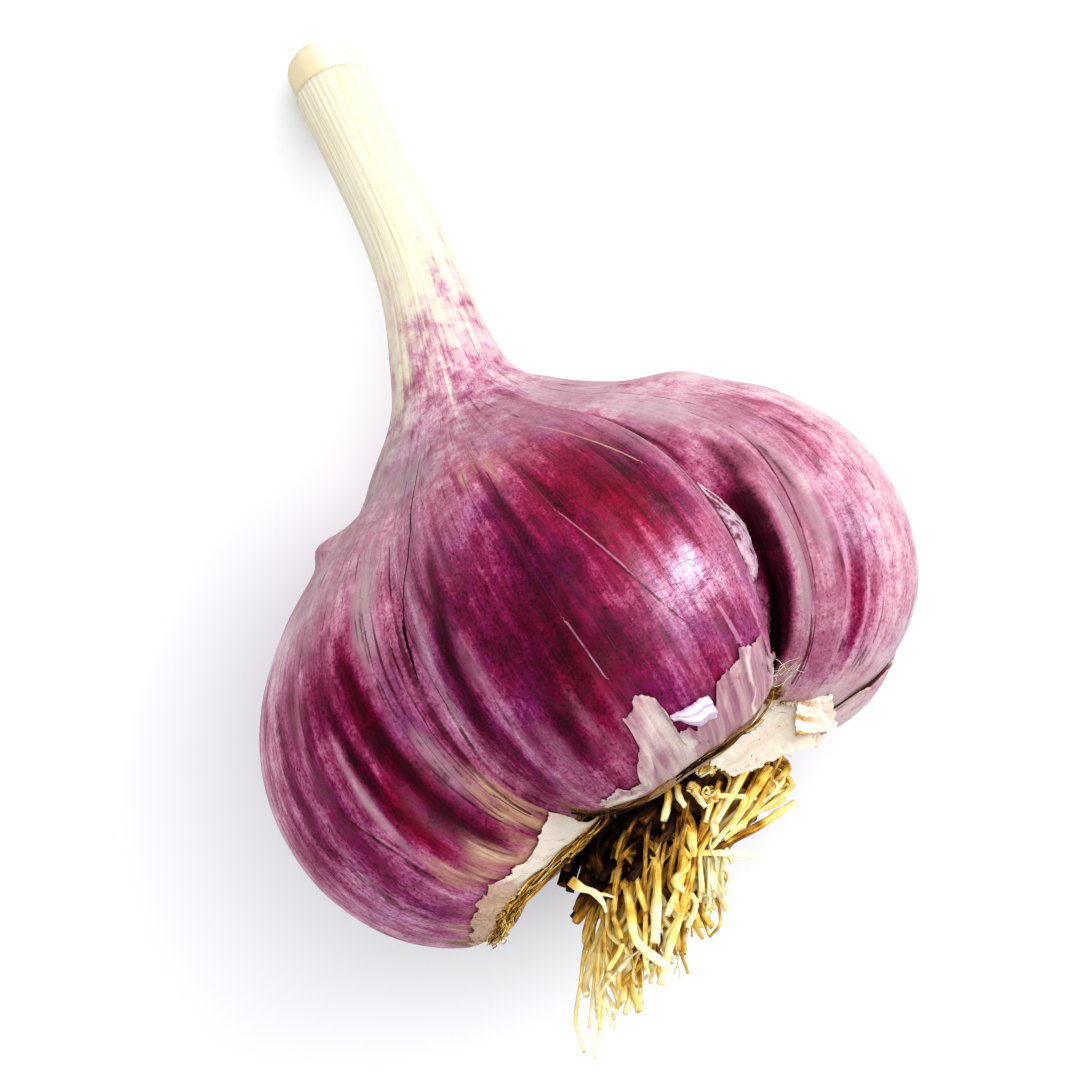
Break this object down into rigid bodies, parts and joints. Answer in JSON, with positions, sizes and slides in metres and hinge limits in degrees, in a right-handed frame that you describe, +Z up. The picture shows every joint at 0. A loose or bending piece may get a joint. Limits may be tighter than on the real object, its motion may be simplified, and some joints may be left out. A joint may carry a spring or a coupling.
{
  "type": "garlic bulb",
  "caption": "Whole dried garlic bulb lying on its side, with cloves grown together under a purple skin, a cut stem and a tuft of dry roots.",
  "frame": {"origin": "on the ground under the middle of the bulb's box as it lies", "axes": "+Z up, +Y from the roots towards the stem, +X to the right seen from the roots"},
  "size_m": [0.0586, 0.0832, 0.0583],
  "materials": {
    "clove_skin": "satin, striped purple, magenta and pale mauve",
    "stem": "dry, ribbed, cream white",
    "roots": "dry, straw yellow with brown bases",
    "papery_skin": "thin, papery, cream and pale pink"
  },
  "bodies": {
    "root": {"bulb_body": "clove_skin", "stem_core": "stem", "root_crown": "roots", "skin_patch_front": "papery_skin", "skin_strip_left": "papery_skin", "skin_strip_right": "papery_skin", "skin_strip_back": "papery_skin", "skin_flake_right": "papery_skin", "skin_curl": "papery_skin", "root_fibre": "papery_skin"}
  },
  "joints": []
}
